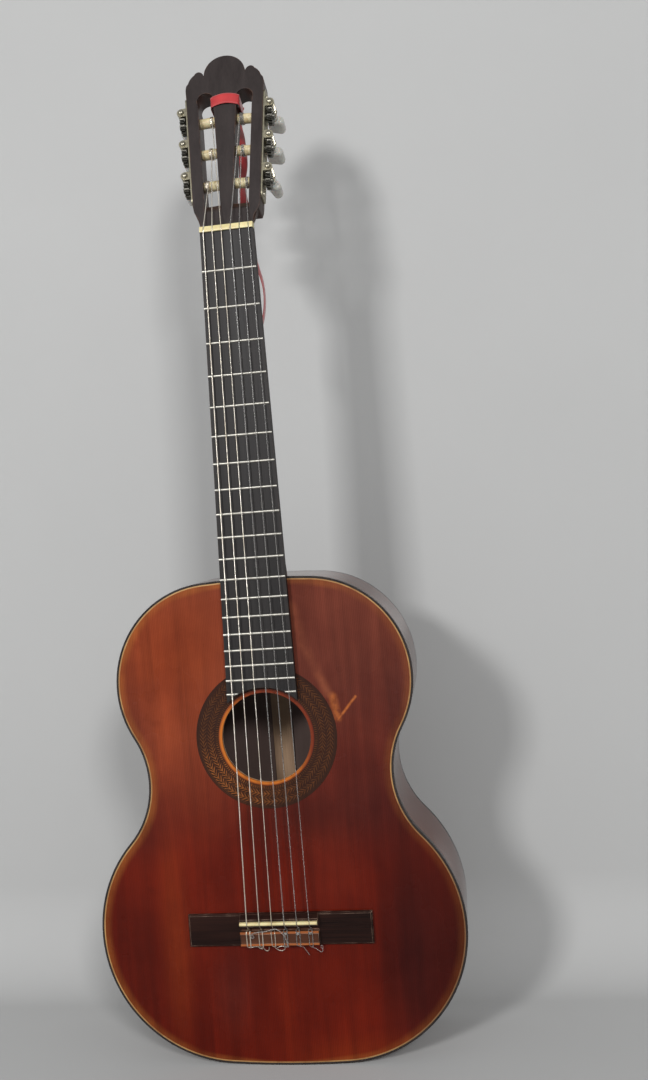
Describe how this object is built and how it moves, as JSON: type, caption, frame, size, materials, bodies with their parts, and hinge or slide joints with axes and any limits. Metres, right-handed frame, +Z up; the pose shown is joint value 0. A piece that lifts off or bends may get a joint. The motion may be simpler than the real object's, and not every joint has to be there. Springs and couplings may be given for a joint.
{
  "type": "classical guitar",
  "caption": "Classical guitar with a figure-eight body, round soundhole, tie-block bridge, nylon strings and a slotted headstock with worm-geared tuners.",
  "frame": {"origin": "bottom of the lower bout on the centre line, at half the depth of the body's tail, where a stand's cradle carries the guitar", "axes": "+Z up along the neck, +X to the treble side, the soundboard and strings face -Y"},
  "size_m": [0.352, 0.1091, 0.9747],
  "materials": {
    "soundboard_finish": "gloss",
    "side_wood": "gloss",
    "inner_softwood": "matte",
    "inner_hardwood": "matte",
    "neck_wood": "satin",
    "headstock_wood": "satin",
    "fretboard_wood": "satin",
    "bridge_wood": "satin",
    "rosette_marquetry": "gloss",
    "binding_dark": "gloss",
    "purfling_cream": "gloss",
    "tie_block_strips": "satin",
    "nut_and_saddle": "satin",
    "fret_wire": "polished",
    "wound_string": "satin",
    "nylon_string": "gloss",
    "tuner_plate_metal": "satin",
    "tuner_gear_metal": "satin",
    "tuner_worm_metal": "polished",
    "screw_metal": "satin",
    "pearl_button": "gloss",
    "roller_plastic": "satin",
    "red_ribbon": "matte"
  },
  "bodies": {
    "guitar": {"soundboard": "soundboard_finish", "rosette": "rosette_marquetry", "top_purfling": "purfling_cream", "bindings": "binding_dark", "sides": "side_wood", "back": "side_wood", "end_block": "inner_hardwood", "neck_block": "inner_hardwood", "linings": "inner_softwood", "soundboard_braces": "inner_softwood", "back_braces": "inner_softwood", "back_centre_strip": "inner_softwood", "neck": "neck_wood", "headstock_veneer": "headstock_wood", "heel_cap": "neck_wood", "fretboard": "fretboard_wood", "frets": "fret_wire", "nut": "nut_and_saddle", "bridge": "bridge_wood", "saddle": "nut_and_saddle", "tie_block_inlays": "tie_block_strips", "tuner_plates": "tuner_plate_metal", "tuner_plate_screws": "screw_metal", "ribbon": "red_ribbon", "string_1": "nylon_string", "string_2": "nylon_string", "string_3": "nylon_string", "string_4": "wound_string", "string_5": "wound_string", "string_6": "wound_string"},
    "tuner_1_shaft": {"string_1_worm": "tuner_worm_metal", "string_1_button": "pearl_button"},
    "tuner_1_spool": {"string_1_gear": "tuner_gear_metal", "string_1_roller": "roller_plastic", "string_1_winding": "nylon_string"},
    "tuner_2_shaft": {"string_2_worm": "tuner_worm_metal", "string_2_button": "pearl_button"},
    "tuner_2_spool": {"string_2_gear": "tuner_gear_metal", "string_2_roller": "roller_plastic", "string_2_winding": "nylon_string"},
    "tuner_3_shaft": {"string_3_worm": "tuner_worm_metal", "string_3_button": "pearl_button"},
    "tuner_3_spool": {"string_3_gear": "tuner_gear_metal", "string_3_roller": "roller_plastic", "string_3_winding": "nylon_string"},
    "tuner_4_shaft": {"string_4_worm": "tuner_worm_metal", "string_4_button": "pearl_button"},
    "tuner_4_spool": {"string_4_gear": "tuner_gear_metal", "string_4_roller": "roller_plastic", "string_4_winding": "wound_string"},
    "tuner_5_shaft": {"string_5_worm": "tuner_worm_metal", "string_5_button": "pearl_button"},
    "tuner_5_spool": {"string_5_gear": "tuner_gear_metal", "string_5_roller": "roller_plastic", "string_5_winding": "wound_string"},
    "tuner_6_shaft": {"string_6_worm": "tuner_worm_metal", "string_6_button": "pearl_button"},
    "tuner_6_spool": {"string_6_gear": "tuner_gear_metal", "string_6_roller": "roller_plastic", "string_6_winding": "wound_string"}
  },
  "joints": [
    {"name": "tuner_1_button_turn", "type": "hinge", "parent": "guitar", "child": "tuner_1_shaft", "pos_m": [0.04029, -0.02583, 0.84927], "axis": [0, -0.9659, 0.2588], "continuous": true},
    {"name": "tuner_1_spool_turn", "type": "hinge", "parent": "guitar", "child": "tuner_1_spool", "pos_m": [0.03358, -0.02845, 0.83948], "axis": [0.9988, -0.0129, -0.0482], "continuous": true},
    {"name": "tuner_2_button_turn", "type": "hinge", "parent": "guitar", "child": "tuner_2_shaft", "pos_m": [0.04204, -0.01678, 0.88303], "axis": [0, -0.9659, 0.2588], "continuous": true},
    {"name": "tuner_2_spool_turn", "type": "hinge", "parent": "guitar", "child": "tuner_2_spool", "pos_m": [0.03533, -0.0194, 0.87325], "axis": [0.9988, -0.0129, -0.0482], "continuous": true},
    {"name": "tuner_3_button_turn", "type": "hinge", "parent": "guitar", "child": "tuner_3_shaft", "pos_m": [0.04379, -0.00773, 0.9168], "axis": [0, -0.9659, 0.2588], "continuous": true},
    {"name": "tuner_3_spool_turn", "type": "hinge", "parent": "guitar", "child": "tuner_3_spool", "pos_m": [0.03707, -0.01036, 0.90701], "axis": [0.9988, -0.0129, -0.0482], "continuous": true},
    {"name": "tuner_4_button_turn", "type": "hinge", "parent": "guitar", "child": "tuner_4_shaft", "pos_m": [-0.04379, -0.00773, 0.9168], "axis": [0, -0.9659, 0.2588], "continuous": true},
    {"name": "tuner_4_spool_turn", "type": "hinge", "parent": "guitar", "child": "tuner_4_spool", "pos_m": [-0.03707, -0.01036, 0.90701], "axis": [0.9988, 0.0129, 0.0482], "continuous": true},
    {"name": "tuner_5_button_turn", "type": "hinge", "parent": "guitar", "child": "tuner_5_shaft", "pos_m": [-0.04204, -0.01678, 0.88303], "axis": [0, -0.9659, 0.2588], "continuous": true},
    {"name": "tuner_5_spool_turn", "type": "hinge", "parent": "guitar", "child": "tuner_5_spool", "pos_m": [-0.03533, -0.0194, 0.87325], "axis": [0.9988, 0.0129, 0.0482], "continuous": true},
    {"name": "tuner_6_button_turn", "type": "hinge", "parent": "guitar", "child": "tuner_6_shaft", "pos_m": [-0.04029, -0.02583, 0.84927], "axis": [0, -0.9659, 0.2588], "continuous": true},
    {"name": "tuner_6_spool_turn", "type": "hinge", "parent": "guitar", "child": "tuner_6_spool", "pos_m": [-0.03358, -0.02845, 0.83948], "axis": [0.9988, 0.0129, 0.0482], "continuous": true}
  ],
  "couplings": [
    {"joint": "tuner_1_spool_turn", "follows": "tuner_1_button_turn", "ratio": -0.071429},
    {"joint": "tuner_2_spool_turn", "follows": "tuner_2_button_turn", "ratio": -0.071429},
    {"joint": "tuner_3_spool_turn", "follows": "tuner_3_button_turn", "ratio": -0.071429},
    {"joint": "tuner_4_spool_turn", "follows": "tuner_4_button_turn", "ratio": -0.071429},
    {"joint": "tuner_5_spool_turn", "follows": "tuner_5_button_turn", "ratio": -0.071429},
    {"joint": "tuner_6_spool_turn", "follows": "tuner_6_button_turn", "ratio": -0.071429}
  ]
}
